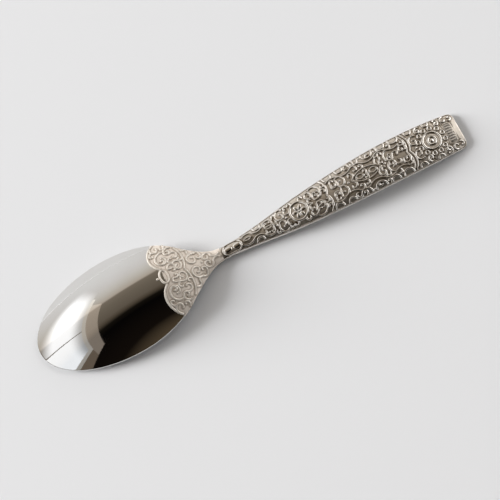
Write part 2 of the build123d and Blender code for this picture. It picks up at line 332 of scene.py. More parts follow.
# The foot colour is tarnish together with painted shade, where the lines meet the ground
ridgeSteel = {
    "colour": "#fefaf4", "dull": "#efe7dc", "roughness": 0.1, "dullRoughness": 0.24, "patchSize": 1.6,
    "foot": "#605240", "matte": "#f4ebdf", "matteRoughness": 0.5, "matteMetal": 0.48,
}


def makeRidgeSteel():
    # Stainless steel, raised in the same die and rubbed by use: bright lines, a little duller where fingers
    # miss them, and browned at the foot by tarnish with painted shade where the line meets the ground. The
    # plaque and the lines on the heel are more matte.
    values = ridgeSteel
    material, tree, shader = newMaterial("rubbedRidgeSteel")
    # The third attribute is tarnish with painted shade, growing towards a line's foot
    place, matte, foot = readPiece(tree, "matte", "tarnishAndShade")
    rub = addNode(tree, "ShaderNodeTexNoise", None, {
        "Vector": place, "Scale": perMetre(values["patchSize"]), "Detail": 4.0, "Roughness": 0.6})
    wear = addNode(tree, "ShaderNodeMapRange", None, {
        "Value": rub.outputs["Fac"], "From Min": 0.42, "From Max": 0.75})
    tone = addNode(tree, "ShaderNodeMix", inColour, {
        0: wear.outputs["Result"], 6: values["colour"], 7: values["dull"]})
    gloss = addNode(tree, "ShaderNodeMapRange", None, {
        "Value": wear.outputs["Result"], "To Min": values["roughness"], "To Max": values["dullRoughness"]})
    toneOrMatte = addNode(tree, "ShaderNodeMix", inColour, {
        0: matte, 6: tone.outputs[2], 7: values["matte"]})
    # Tarnish and painted shade at the foot
    toneOrTarnishShade = addNode(tree, "ShaderNodeMix", inColour, {
        0: foot, 6: toneOrMatte.outputs[2], 7: values["foot"]})
    glossOrMatte = addNode(tree, "ShaderNodeMapRange", None, {
        "Value": matte, "To Min": gloss.outputs["Result"], "To Max": values["matteRoughness"]})
    metal = addNode(tree, "ShaderNodeMapRange", None, {
        "Value": matte, "To Min": 1.0, "To Max": values["matteMetal"]})
    connect(tree, shader, {
        "Metallic": metal.outputs["Result"], "Base Color": toneOrTarnishShade.outputs[2],
        "Roughness": glossOrMatte.outputs["Result"]})
    return material


mirrorMaterial = makeMirrorSteel()
struckMaterial = makeStruckSteel()
ridgeMaterial = makeRidgeSteel()
print("materials made")

# Bowl
bowlMesh = {
    "frontPoints": 112, "rearPoints": 48, "taperPoints": 56, "endPoints": 10, "slopeStep": 0.01,
    "backRings": 130, "cavityRings": 40, "landRings": 6, "wallRings": 7, "browRings": 4, "brow": 0.18,
    "rimTuck": 0.6, "neckTuck": 0.35, "tuckFrom": -5.0, "tuckTo": 3.0, "groundFoot": 0.3, "sharpAngle": 50,
}


def bowlOutline():
    # Points round the bowl and half of the neck, each with the direction that faces out of it
    sizes = bowlMesh
    upper = []
    front = (spoon["bowlFront"], pi, pi / 2, sizes["frontPoints"] // 2)
    rear = (spoon["bowlRear"], pi / 2, acos(heelShare), sizes["rearPoints"])
    for reach, first, last, count in (front, rear):
        for i in range(count):
            angle = first + (last - first) * i / count
            upper.append((widest + reach * cos(angle), halfBowl * sin(angle),
                          cos(angle) / reach, sin(angle) / halfBowl))
    for i in range(sizes["taperPoints"] + 1):
        x = heel + (neck - heel) * i / sizes["taperPoints"]
        step = sizes["slopeStep"]
        ahead = min(x + step, neck)
        lean = (halfAt(ahead) - halfAt(x - step)) / (ahead - x + step)
        upper.append((x, halfAt(x), -lean, 1))
    for i in range(1, sizes["endPoints"] // 2 + 1):
        share = 1 - i / (sizes["endPoints"] // 2)
        upper.append((neck, share * halfAt(neck), 0, share))
    lower = [(x, -y, nx, -ny) for x, y, nx, ny in upper[1:-1]]
    points = []
    for x, y, nx, ny in upper + lower[::-1]:
        size = max(tiny, hypot(nx, ny))
        flat = abs(x - neck) < tiny
        points.append((x, y, 0 if flat else nx / size, ny if flat else ny / size))
    return points


def makeBowl():
    sizes = bowlMesh
    outline = bowlOutline()
    brow = sizes["brow"]

    def tuckAt(x):
        # How far the edge draws in towards the table: more on the bowl's thin rim, less on the neck
        share = clamp((x - heel - sizes["tuckFrom"]) / (sizes["tuckTo"] - sizes["tuckFrom"]))
        return sizes["rimTuck"] + share * (sizes["neckTuck"] - sizes["rimTuck"])

    def inset(distance):
        return [(x - distance * nx, y - distance * ny) for x, y, nx, ny in outline]

    def tucked(share):
        return [(x - share * tuckAt(x) * nx, y - share * tuckAt(x) * ny) for x, y, nx, ny in outline]

    def drawnIn(points, share):
        return [(widest + share * (x - widest), share * y) for x, y in points]

    mouth = []
    for x, y, nx, ny in outline:
        share = 1 / hypot((x - widest) / hollowReach(x), y / halfHollow)
        mouth.append((widest + share * (x - widest), share * y))
    rings = [[inFrame(widest, 0, cavityAt(widest, 0))]]
    for i in range(1, sizes["cavityRings"] + 1):
        ring = drawnIn(mouth, i / sizes["cavityRings"])
        rings.append([inFrame(x, y, max(cavityAt(x, y), bottomAt(x))) for x, y in ring])
    foot = tucked(1)
    for i in range(1, sizes["landRings"]):
        t = i / sizes["landRings"]
        ring = [(a[0] + t * (b[0] - a[0]), a[1] + t * (b[1] - a[1])) for a, b in zip(mouth, foot)]
        rings.append([inFrame(x, y, bottomAt(x)) for x, y in ring])
    for i in range(sizes["wallRings"]):
        turn = pi / 2 * i / sizes["wallRings"]
        ring = []
        for (x, y), (x0, y0, nx, ny) in zip(tucked(1 - sin(turn)), outline):
            low = bottomAt(x0)
            top = backAt(x0, y0) - brow
            ring.append(inFrame(x, y, low + (top - low) * (1 - cos(turn))))
        rings.append(ring)
    rim = inset(0)
    crest = inset(brow)
    for i in range(sizes["browRings"] + 1):
        t = i / sizes["browRings"]
        ring = []
        for (x0, y0), (x1, y1) in zip(rim, crest):
            low = backAt(x0, y0) - brow
            corner = backAt(x0, y0)
            top = backAt(x1, y1)
            along = t * t
            ring.append(inFrame(
                x0 + along * (x1 - x0), y0 + along * (y1 - y0),
                (1 - t) ** 2 * low + 2 * t * (1 - t) * corner + t * t * top))
        rings.append(ring)
    for i in range(1, sizes["backRings"]):
        ring = drawnIn(crest, 1 - i / sizes["backRings"])
        rings.append([inFrame(x, y, backAt(x, y)) for x, y in ring])
    rings.append([inFrame(widest, 0, backAt(widest, 0))])
    bowl = shapedBall("bowl_shell", rings)
    tidyMesh(bowl, sizes["sharpAngle"])
    return bowl


# Handle
handleMesh = {
    "step": 0.25, "cornerSteps": 14, "topPoints": 50, "sidePoints": 3, "bottomPoints": 8, "footPoints": 4,
    "footRound": 0.35, "footShare": 0.4, "browRound": 0.45, "browShare": 0.5, "endRound": 0.25,
    "fallWidth": 2.2, "fallShare": 0.6, "fallDepth": 0.35, "fallReach": 8.0, "sharpAngle": 50,
}

# Raised ornament: its lines, beads and border, and how tarnish and painted shade gather at their feet
relief = {
    "lineRadius": 0.34, "fineRadius": 0.2, "neatRadius": 0.26, "boldRadius": 0.4, "lineLift": -0.06,
    "beadRadius": 0.38, "beadHeight": 0.25, "beadSegments": 16, "beadRings": 10,
    "borderWidth": 0.4, "borderInset": 0.12, "borderStep": 0.64, "step": 0.16, "bowStretch": 1.1,
    "leastPoints": 6, "ovalPoints": 48, "smoothness": 3, "sharpAngle": 60, "groundReach": 0.08,
    "tarnishAndShadeReach": 0.24, "footTarnishShadeHeight": 0.15, "plaqueFootTarnishShadeHeight": 0.42, "heelFootTarnishShade": 0.4, "paleFootTarnishShade": 0.3,
    "heelMatte": 0.75, "plaqueMatte": 0.4,
}

# Places and sizes of its motifs. Those of petals, boss and domes are shares of what they stand in.
ornament = {
    "scrollTurn": 195.0, "scrollLead": 40.0, "scrollShrink": 0.55,
    "heelOvalLength": 2.9, "heelOvalWidth": 4.6, "heelOvalPlace": 4.0, "heelFront": 6.2,
    "heelBracketPlace": 5.8, "panelLength": 6.2, "panelGap": 0.4, "medallionRadius": 2.6,
    "medallionPlace": 24.5, "petalCount": 6, "petalPlace": 0.48, "petalLength": 0.32, "petalWidth": 0.21,
    "domeLength": 0.2, "domeWidth": 0.6, "domePlace": 1.1, "lensLength": 9.0, "lensWidth": 4.2,
    "middleBracketPlace": 7.3, "dividerPlace": 16.0, "dividerGap": 0.9, "bracketLean": 0.6,
    "bracketBulge": 1.0, "endRingRadius": 2.5, "endRingGap": 1.36, "endRingPlace": 8.4, "bossShare": 0.25,
    "petalRingRadius": 0.55, "petalRingCount": 12,
    "plaqueLength": 2.0, "plaqueWidth": 6.0, "plaquePlace": 2.9,
}
heelOvalX = heel - ornament["heelOvalPlace"]
panelFront = neck + ornament["panelGap"]
panelX = panelFront + ornament["panelLength"] / 2
panelBack = panelFront + ornament["panelLength"]
medallion = neck + ornament["medallionPlace"]
middleX = shoulder + ornament["middleBracketPlace"]
dividerX = end - ornament["dividerPlace"]
lens = (middleX + dividerX) / 2
endRing = end - ornament["endRingPlace"]
plaqueX = end - ornament["plaquePlace"]


def endHalf(x):
    # Half the handle's width, drawn in round the two corners of its end
    corner = spoon["endCorner"]
    past = max(0, x - (end - corner))
    return halfAt(min(x, end)) - (corner - sqrt(max(0, corner**2 - past**2)))


def fieldAt(x):
    return halfAt(x) - relief["borderInset"] - relief["borderWidth"]


def topAt(x, y):
    # The back with the handle's two sides falling away, from nothing at the neck
    share = clamp((x - neck) / handleMesh["fallReach"])
    half = halfAt(min(x, end))
    width = min(handleMesh["fallWidth"], handleMesh["fallShare"] * half)
    past = max(0, abs(y) - half + width) / width
    return backAt(x, y) - handleMesh["fallDepth"] * share**2 * (3 - 2 * share) * past**2


def makeHandle():
    sizes = handleMesh
    corner = spoon["endCorner"]
    count = round((end - corner - neck) / sizes["step"])
    stations = [neck + (end - corner - neck) * i / count for i in range(count + 1)]
    stations += [end - corner + corner * sin(pi / 2 * i / sizes["cornerSteps"])
                 for i in range(1, sizes["cornerSteps"] + 1)]
    rings = []
    for x in stations:
        half = endHalf(x)
        past = max(0, x - (end - sizes["endRound"]))
        shrink = sizes["endRound"] - sqrt(max(0, sizes["endRound"] ** 2 - past**2))
        low = max(0, bottomAt(x)) + shrink
        thick = topAt(x, half) - shrink - low
        foot = min(sizes["footRound"], sizes["footShare"] * thick)
        brow = min(sizes["browRound"], sizes["browShare"] * thick)
        side = []
        for i in range(sizes["footPoints"] + 1):
            turn = pi / 2 * i / sizes["footPoints"]
            side.append((half - foot * (1 - sin(turn)), low + foot * (1 - cos(turn))))
        wallTop = max(topAt(x, half) - shrink - brow, low + foot)
        for i in range(sizes["sidePoints"] + 1):
            turn = pi / 2 * (i / sizes["sidePoints"])
            y = half - brow * (1 - cos(turn))
            z = wallTop + (topAt(x, y) - shrink - wallTop) * sin(turn)
            side.append((y, z))
        innerTop = half - brow
        innerLow = half - foot
        ring = []
        for i in range(1, sizes["bottomPoints"]):
            ring.append((-innerLow + 2 * innerLow * i / sizes["bottomPoints"], low))
        ring += side
        for i in range(1, sizes["topPoints"]):
            y = innerTop - 2 * innerTop * i / sizes["topPoints"]
            ring.append((y, topAt(x, y) - shrink))
        ring += [(-y, z) for y, z in side[::-1]]
        rings.append([inFrame(x, y, z) for y, z in ring])
    nearEnd = [inFrame(neck, 0, (bottomAt(neck) + backAt(neck, 0)) / 2)]
    farEnd = [inFrame(end, 0, backAt(end, 0) / 2)]
    handle = shapedBall("handle_bar", [nearEnd] + rings + [farEnd])
    tidyMesh(handle, sizes["sharpAngle"])
    return handle


def markGround(piece, isGround):
    # Two attributes: ground is 1 on the sunk ground between the raised lines and 0 on bare polished metal,
    # and the other grows to 1 at the foot of each raised line: tarnish there, together with painted shade
    # where the crease beside the line would be in shade
    points = []
    for nodeName, (lines, dots) in motifs.items():
        if nodeName != "handle_border":
            points += [point for line in lines + dots for point in line]
    tree = KDTree(len(points))
    for x, y in points:
        tree.insert((x, y, 0), 0)
    tree.balance()
    ground = piece.data.attributes.new("ground", "FLOAT", "POINT")
    tarnishAndShade = piece.data.attributes.new("tarnishAndShade", "FLOAT", "POINT")
    for vertex in piece.data.vertices:
        x, y, z = vertex.co / mm
        x += spoon["length"] / 2
        if isGround(x, abs(y), z):
            # Painted shade with tarnish, strongest right beside each line
            gap = tree.find((x, y, 0))[2] - relief["lineRadius"]
            ground.data[vertex.index].value = 1.0
            tarnishAndShade.data[vertex.index].value = clamp(1 - gap / relief["tarnishAndShadeReach"])


def heelFrontAt(y):
    # The bowed front edge of the heel's ornament
    bulge = ornament["heelFront"] - ornament["heelOvalPlace"]
    near, far = ornament["heelOvalWidth"] / 2, fieldAt(heelOvalX)
    across = min(1, max(-1, (2 * y - near - far) / (far - near)))
    return heelOvalX - bulge * (1 - across**2) if y > near else heelOvalX


def onHeel(x, y, z):
    # The struck part of the bowl's back, with its side walls
    foot = bottomAt(x) + bowlMesh["groundFoot"] * (edgeAt(x) - bottomAt(x))
    return x > heelFrontAt(y) and z > foot


def onField(x, y, z):
    # The struck part of the handle's back, inside its border
    inside = y < fieldAt(min(x, end)) + relief["borderWidth"] / 2
    return inside and z > topAt(x, y) - relief["groundReach"]


bowlPiece = makeBowl()
finishPiece(bowlPiece, "polished_bowl", mirrorMaterial, "bowl")
print("bowl made:", len(bowlPiece.data.polygons), "faces")
handlePiece = makeHandle()
finishPiece(handlePiece, "handle_metal", struckMaterial, "handle")
print("handle made:", len(handlePiece.data.polygons), "faces")


# Strokes of the ornament: points along its lines, and the beads beside them
def arc(x, y, radius, first, turn):
    # Points on an arc, from an angle and a signed turn in degrees
    count = max(relief["leastPoints"], round(radius * abs(radians(turn)) / relief["step"]))
    angles = [radians(first + turn * i / count) for i in range(count + 1)]
    return [(x + radius * cos(a), y + radius * sin(a)) for a in angles]


def bow(start, stop, rise):
    # Points on an arc between two points, that rises by so much to the left of the way
    dx, dy = stop[0] - start[0], stop[1] - start[1]
    chord = hypot(dx, dy)
    count = max(relief["leastPoints"], round(relief["bowStretch"] * chord / relief["step"]))
    radius = (chord**2 / 4 + rise**2) / (2 * abs(rise))
    lift = (radius - abs(rise)) * (1 if rise > 0 else -1)
    midX, midY = (start[0] + stop[0]) / 2, (start[1] + stop[1]) / 2
    centreX, centreY = midX + lift * dy / chord, midY - lift * dx / chord
    first = atan2(start[1] - centreY, start[0] - centreX)
    sweep = atan2(stop[1] - centreY, stop[0] - centreX) - first
    while sweep > pi:
        sweep -= 2 * pi
    while sweep < -pi:
        sweep += 2 * pi
    points = []
    for i in range(count + 1):
        a = first + sweep * i / count
        points.append((centreX + radius * cos(a), centreY + radius * sin(a)))
    return points


def bothSides(strokes):
    return strokes + [[(x, -y) for x, y in stroke] for stroke in strokes]


def scroll(x, share, size, facing):
    # A pair of spirals of two arcs. Returns lines and the beads at their eyes.
    radius = size * fieldAt(x)
    turn = -facing * ornament["scrollTurn"]
    first = 90 + ornament["scrollLead"] * facing
    outer = arc(x, share * fieldAt(x), radius, first, turn)
    small = ornament["scrollShrink"] * radius
    aim = radians(first + turn)
    eyeX = x + (radius - small) * cos(aim)
    eyeY = share * fieldAt(x) + (radius - small) * sin(aim)
    inner = arc(eyeX, eyeY, small, first + turn, turn)
    return bothSides([outer + inner[1:]]), bothSides([[inner[-1]]])


def wave(x0, x1, share, rise, count):
    # A pair of lines that swing to and fro
    stops = [x0 + (x1 - x0) * i / count for i in range(count + 1)]
    points = [(x, share * fieldAt(x)) for x in stops]
    line = [points[0]]
    for i in range(count):
        line += bow(points[i], points[i + 1], rise * fieldAt(stops[i]) * (-1) ** i)[1:]
    return bothSides([line]), []


def ring(x, y, radius):
    return [arc(x, y, radius, 0, 360)], []


def edgeBow(x, size):
    # A pair of half circles that stand on the field's edges
    return bothSides([arc(x, fieldAt(x), size * fieldAt(x), 180, 180)]), []


def bracket(x):
    # Two bowed lines that meet in the middle and reach across the field
    far = (x - ornament["bracketLean"], fieldAt(x - ornament["bracketLean"]))
    return bothSides([bow((x, 0), far, -ornament["bracketBulge"])]), []


def beads(x, *shares):
    # Beads at shares of the field's half width, in pairs apart from one in the middle
    places = []
    for share in shares:
        places.append([(x, share * fieldAt(x))])
        if share:
            places.append([(x, -share * fieldAt(x))])
    return [], places


def together(*groups):
    lines = []
    dots = []
    for groupLines, groupDots in groups:
        lines += groupLines
        dots += groupDots
    return lines, dots


def lineMesh(name, lines, radius):
    # Half-sunk round wires along lines on the back
    curve = bpy.data.curves.new(name, "CURVE")
    curve.dimensions = "3D"
    curve.bevel_depth = radius * mm
    curve.bevel_resolution = relief["smoothness"]
    curve.use_fill_caps = True
    for line in lines:
        closed = hypot(line[0][0] - line[-1][0], line[0][1] - line[-1][1]) < tiny
        points = line[:-1] if closed else line
        spline = curve.splines.new("POLY")
        spline.points.add(len(points) - 1)
        for point, (x, y) in zip(spline.points, points):
            point.co = (*inFrame(x, y, topAt(x, y) + relief["lineLift"]), 1)
        spline.use_cyclic_u = closed
    obj = bpy.data.objects.new(name, curve)
    bpy.context.scene.collection.objects.link(obj)
    pick(obj)
    bpy.ops.object.convert(target="MESH")
    return bpy.context.object


def beadMesh(name, x, y, radiusX, radiusY, turn=0):
    # A flattened bead or petal on the back
    deselectAll()
    bpy.ops.mesh.primitive_uv_sphere_add(
        segments=relief["beadSegments"], ring_count=relief["beadRings"], radius=1)
    bead = bpy.context.object
    bead.name = name
    for vertex in bead.data.vertices:
        a, b = vertex.co.x * radiusX, vertex.co.y * radiusY
        px = x + a * cos(turn) - b * sin(turn)
        py = y + a * sin(turn) + b * cos(turn)
        vertex.co = inFrame(px, py, topAt(px, py) + vertex.co.z * relief["beadHeight"])
    return bead


def joined(name, pieces):
    pick(*pieces)
    if len(pieces) > 1:
        bpy.ops.object.join()
    whole = bpy.context.object
    whole.name = name
    whole.data.name = name
    tidyMesh(whole, relief["sharpAngle"])
    return whole


# Lines of another weight than lineRadius
weights = {
    "handle_border": "fineRadius", "end_plaque": "fineRadius", "neck_panel": "neatRadius",
    "divider": "neatRadius", "end_petals": "neatRadius", "medallion_ring": "boldRadius",
    "end_rings": "boldRadius",
}


def raiseMotif(nodeName, motif, extra=()):
    # One piece from a motif's lines, beads and solid forms. Its attribute matte tells a blasted surface, and
    # another grows towards the foot: tarnish with painted shade where the line meets the ground.
    lines, dots = motif
    pieces = list(extra)
    if lines:
        weight = weights.get(nodeName, "lineRadius")
        pieces.append(lineMesh(nodeName + "_lines", lines, relief[weight]))
    for dot in dots:
        pieces.append(beadMesh(nodeName + "_bead", *dot[0], relief["beadRadius"], relief["beadRadius"]))
    whole = joined(nodeName + "_relief", pieces)
    # How much tarnish and painted shade each motif's lines get, and how high it reaches
    matteShare, footShare, footTarnishShadeHeight = 0.0, 1.0, relief["footTarnishShadeHeight"]
    if nodeName.startswith("heel"):
        matteShare, footShare = relief["heelMatte"], relief["heelFootTarnishShade"]
    if nodeName == "handle_border" or nodeName.startswith("neck"):
        footShare = relief["paleFootTarnishShade"]
    # On the plaque it reaches higher, over the plaque's whole low top and its frame
    if nodeName == "end_plaque":
        matteShare, footTarnishShadeHeight = relief["plaqueMatte"], relief["plaqueFootTarnishShadeHeight"]
    matte = whole.data.attributes.new("matte", "FLOAT", "POINT")
    tarnishAndShade = whole.data.attributes.new("tarnishAndShade", "FLOAT", "POINT")
    for vertex in whole.data.vertices:
        x, y, z = vertex.co / mm
        above = z - topAt(x + spoon["length"] / 2, y)
        matte.data[vertex.index].value = matteShare
        tarnishAndShade.data[vertex.index].value = footShare * clamp(1 - above / footTarnishShadeHeight)
    finishPiece(whole, "ornament_metal", ridgeMaterial, nodeName)


def ovalLine(x, lengthHalf, widthHalf):
    count = relief["ovalPoints"]
    turns = [2 * pi * i / count for i in range(count + 1)]
    return [(x + lengthHalf * cos(a), widthHalf * sin(a)) for a in turns]


def heelOval():
    reachX, reachY = ornament["heelOvalLength"] / 2, ornament["heelOvalWidth"] / 2
    oval = ovalLine(heelOvalX, reachX - relief["lineRadius"], reachY - relief["lineRadius"])
    return [oval], [[(heelOvalX - reachX - relief["beadRadius"], 0)]]


def heelEdge():
    near = (heelOvalX, ornament["heelOvalWidth"] / 2)
    far = (heelOvalX, fieldAt(heelOvalX))
    return bothSides([bow(near, far, ornament["heelFront"] - ornament["heelOvalPlace"])]), []


def heelScrolls():
    unit = ornament["heelOvalWidth"]  # places are counted in it
    length = spoon["neckLength"]
    return together(
        scroll(heelOvalX + 0.33 * unit, share=0.53, size=0.2, facing=-1),
        scroll(heelOvalX + 0.93 * unit, share=0.22, size=0.16, facing=1),
        scroll(heelOvalX + 0.76 * unit, share=0.8, size=0.13, facing=-1),
        scroll(heel + 0.38 * length, share=0.44, size=0.32, facing=-1),
        wave(heel + 0.2 * length, heel + 0.55 * length, share=0.86, rise=0.1, count=3),
        wave(heel + 0.58 * length, neck - 0.5, share=0.45, rise=0.3, count=2),
        beads(heel + 0.54 * length, 0),
    )


def neckPanel():
    half = fieldAt(panelX)
    straight = ornament["panelLength"] / 2 - half - relief["neatRadius"]
    outline = arc(panelX + straight, 0, half, -90, 180) + arc(panelX - straight, 0, half, 90, 180)
    return [outline + outline[:1]], []


def panelDomes():
    reachX = ornament["domeLength"] * ornament["panelLength"]
    reachY = ornament["domeWidth"] * fieldAt(panelX)
    away = ornament["domePlace"]
    return [beadMesh("dome", panelX + side * away * reachX, 0, reachX, reachY) for side in (-1, 1)]


def neckScrolls():
    stop = medallion - 3 * ornament["medallionRadius"]
    loops = 3
    step = (stop - panelBack) / loops
    leaves = []
    for place in (0.5, loops - 0.5):
        tip, tail = panelBack + (place - 0.35) * step, panelBack + (place + 0.35) * step
        leaves += bothSides([bow((tip, 0), (tail, 0), rise=0.11 * step)])
    return together(
        wave(panelBack, stop, share=0.5, rise=0.32, count=loops),
        (leaves, []),
        edgeBow(panelBack + loops / 2 * step, size=0.5),
    )


def medallionScrolls():
    unit = ornament["medallionRadius"]
    return together(
        scroll(medallion - 2 * unit, share=0.5, size=0.46, facing=-1),
        scroll(medallion + 2.2 * unit, share=0.5, size=0.44, facing=1),
        beads(medallion - 1.56 * unit, 0),
        beads(medallion + 1.56 * unit, 0),
    )


def lensLines():
    half = ornament["lensLength"] / 2
    rise = ornament["lensWidth"] / 2 - relief["lineRadius"]
    return bothSides([bow((lens - half, 0), (lens + half, 0), rise)]), []


def lensScrolls():
    unit = ornament["lensLength"]
    first, last = middleX + ornament["bracketBulge"], dividerX - ornament["bracketBulge"]
    motif = together(wave(first, last, share=0.62, rise=0.11, count=6), beads(lens, 0, 0.94))
    for side in (-1, 1):
        leaf = bow((lens + side * 0.08 * unit, 0), (lens + side * 0.36 * unit, 0), rise=0.08 * unit)
        motif = together(
            motif,
            (bothSides([leaf]), []),
            scroll(lens + side * 0.86 * unit, share=0.3, size=0.3, facing=-side),
            edgeBow(lens + side * 0.245 * unit, size=0.3),
            edgeBow(lens + side * 0.73 * unit, size=0.22),
            edgeBow(lens + side * 1.16 * unit, size=0.26),
            beads(lens + side * 0.62 * unit, 0),
        )
    return motif


def endScrolls():
    unit = ornament["endRingRadius"]
    return together(
        scroll(endRing - 1.8 * unit, share=0.4, size=0.24, facing=-1),
        scroll(endRing - 0.9 * unit, share=0.82, size=0.16, facing=-1),
        scroll(endRing + 1.2 * unit, share=0.82, size=0.16, facing=1),
        edgeBow(endRing - 1.98 * unit, size=0.18),
        edgeBow(endRing + 0.15 * unit, size=0.16),
        beads(endRing - 1.9 * unit, 0),
    )


def endPetals():
    radius = ornament["petalRingRadius"]
    wreath = ornament["endRingRadius"] + 2 * relief["lineRadius"] + radius
    petals = []
    for i in range(ornament["petalRingCount"]):
        turn = 2 * pi * (i + 0.5) / ornament["petalRingCount"]
        petals.append(ring(endRing + wreath * cos(turn), wreath * sin(turn), radius))
    return together(*petals)


def rosettePetals():
    radius = ornament["medallionRadius"]
    place = ornament["petalPlace"] * radius
    reachX, reachY = ornament["petalLength"] * radius, ornament["petalWidth"] * radius
    petals = []
    for i in range(ornament["petalCount"]):
        turn = 2 * pi * i / ornament["petalCount"]
        x, y = medallion + place * cos(turn), place * sin(turn)
        petals.append(beadMesh("petal", x, y, reachX, reachY, turn))
    return petals


def borderLine():
    # From the neck panel along one side, round the end and back, in the middle of the raised border
    inset = relief["borderInset"] + relief["borderWidth"] / 2
    corner = spoon["endCorner"] - inset
    turnPlace = end - inset - corner
    count = round((turnPlace - panelBack) / relief["borderStep"])
    side = []
    for i in range(count + 1):
        x = panelBack + (turnPlace - panelBack) * i / count
        side.append((x, halfAt(x) - inset))
    side += arc(turnPlace, side[-1][1] - corner, corner, 90, -90)[1:]
    return [side + [(x, -y) for x, y in side[::-1]]], []


# The plaque's frame, its height above and below the ground, its softened edges and corners, and its reeds
plaqueMesh = {
    "frameGap": 0.4, "cuts": 53, "height": 0.3, "depth": 0.05, "edgeDrop": 0.5, "edgePower": 8,
    "cornerDraw": 0.1, "cornerPower": 4, "reeds": 7, "reedDepth": 0.2, "reedLength": 0.84, "reedWidth": 0.92,
}


def plaqueFrame():
    reachX, reachY = ornament["plaqueLength"] / 2, ornament["plaqueWidth"] / 2
    corners = []
    for first, signX, signY in [(0, 1, 1), (90, -1, 1), (180, -1, -1), (270, 1, -1)]:
        corners += arc(plaqueX + signX * reachX, signY * reachY, plaqueMesh["frameGap"], first, 90)
    return [corners + corners[:1]], []


def plaque():
    # A low pillow with rounded corners and plain reeds along it
    sizes = plaqueMesh
    reachX, reachY = ornament["plaqueLength"] / 2, ornament["plaqueWidth"] / 2
    deselectAll()
    bpy.ops.mesh.primitive_cube_add(size=2)
    plate = bpy.context.object
    bpy.ops.object.mode_set(mode="EDIT")
    bpy.ops.mesh.subdivide(number_cuts=sizes["cuts"])
    bpy.ops.object.mode_set(mode="OBJECT")
    for vertex in plate.data.vertices:
        u, v, w = vertex.co
        soft = 1 - sizes["edgeDrop"] * max(abs(u), abs(v)) ** sizes["edgePower"]
        corner = 1 - sizes["cornerDraw"] * (abs(u) * abs(v)) ** sizes["cornerPower"]
        x = plaqueX + reachX * u * corner
        y = reachY * v * corner
        valley = 1 - abs(sin(sizes["reeds"] * pi / 2 * (v / sizes["reedWidth"] + 1)))
        inside = abs(u) < sizes["reedLength"] and abs(v) < sizes["reedWidth"]
        top = sizes["height"] * soft - (sizes["reedDepth"] * valley if inside else 0)
        vertex.co = inFrame(x, y, topAt(x, y) + (top if w > 0 else sizes["depth"]) * w)
    return plate


motifs = {
    "handle_border": borderLine(),
    "heel_oval": heelOval(),
    "heel_edge": heelEdge(),
    "heel_bracket": bracket(heelOvalX + ornament["heelBracketPlace"]),
    "heel_scrolls": heelScrolls(),
    "neck_panel": neckPanel(),
    "neck_scrolls": neckScrolls(),
    "medallion_ring": ring(medallion, 0, ornament["medallionRadius"]),
    "medallion_rosette": beads(medallion, 0),
    "medallion_scrolls": medallionScrolls(),
    "middle_bracket": bracket(middleX),
    "lens_ring": lensLines(),
    "lens_scrolls": lensScrolls(),
    "divider": together(bracket(dividerX), bracket(dividerX + ornament["dividerGap"])),
    "end_rings": together(ring(endRing, 0, ornament["endRingRadius"]),
                          ring(endRing, 0, ornament["endRingRadius"] - ornament["endRingGap"])),
    "end_petals": endPetals(),
    "end_scrolls": endScrolls(),
    "end_boss": ([], []),
    "end_plaque": plaqueFrame(),
}

# Small curls that branch off the lines above wherever there is room for one, and beads where there is more.
# The gaps keep them off what they must not fill.
tendrils = {
    "leastRoom": 0.73, "heelRoom": 0.8, "beadRoom": 1.6, "turn": 280.0, "eye": 0.28, "speed": 1.5,
    "points": 40, "grid": 0.22, "most": 220, "axisGap": 0.1, "edgeGap": 0.1, "heelEdgeGap": 0.25,
    "edgeStep": 0.2, "beadRing": 0.2, "frontRun": 1.6, "frontGap": 0.2, "frontCentre": 2.0, "frontReach": 4.6,
    "endGap": 1.2, "plaqueGap": 0.6, "plaqueSideGap": 0.7, "medallionGap": 0.2, "panelHalf": 1.0,
    "cornerLength": 1.8, "cornerGap": 0.3, "neckGroup": 2.9, "middleGroup": 0.5, "lensGroup": 0.6,
    "farthest": 9.0, "block": 400,
}


def isFree(x, y):
    # Places inside the ornament's field that curls may fill
    gaps = tendrils
    edgeMiddle = (ornament["heelOvalWidth"] / 2 + fieldAt(heelOvalX)) / 2
    inBulge = hypot(x - heelOvalX - gaps["frontCentre"], y - edgeMiddle) < gaps["frontReach"]
    behindEdge = x > heelOvalX + gaps["frontGap"] or inBulge
    plaqueFront = plaqueX - ornament["plaqueLength"] / 2
    plaqueSide = ornament["plaqueWidth"] / 2
    inPlaque = x > plaqueFront - gaps["plaqueGap"] and y < plaqueSide + gaps["plaqueSideGap"]
    inMedallion = hypot(x - medallion, y) < ornament["medallionRadius"] + gaps["medallionGap"]
    inRings = hypot(x - endRing, y) < ornament["endRingRadius"]
    inPanel = panelFront < x < panelBack and y < gaps["panelHalf"]
    inCorner = x > end - gaps["cornerLength"] and y > fieldAt(x) - gaps["cornerGap"]
    return behindEdge and not (inPlaque or inMedallion or inRings or inPanel or inCorner)


def groupAt(x):
    # The motif that a curl at this place belongs to
    limits = [
        (neck, "heel_scrolls"),
        (medallion - tendrils["neckGroup"] * ornament["medallionRadius"], "neck_scrolls"),
        (middleX + tendrils["middleGroup"], "medallion_scrolls"),
        (dividerX + tendrils["lensGroup"], "lens_scrolls"),
    ]
    return next((name for limit, name in limits if x < limit), "end_scrolls")


def nearest(spots, points):
    # How far each spot is from the nearest of the points, taken in blocks to save memory
    size = tendrils["block"]
    gaps = np.full(len(spots), tendrils["farthest"])
    for i in range(0, len(points), size):
        block = points[i : i + size]
        reach = np.hypot(spots[:, None, 0] - block[None, :, 0], spots[:, None, 1] - block[None, :, 1])
        gaps = np.minimum(gaps, reach.min(1))
    return gaps


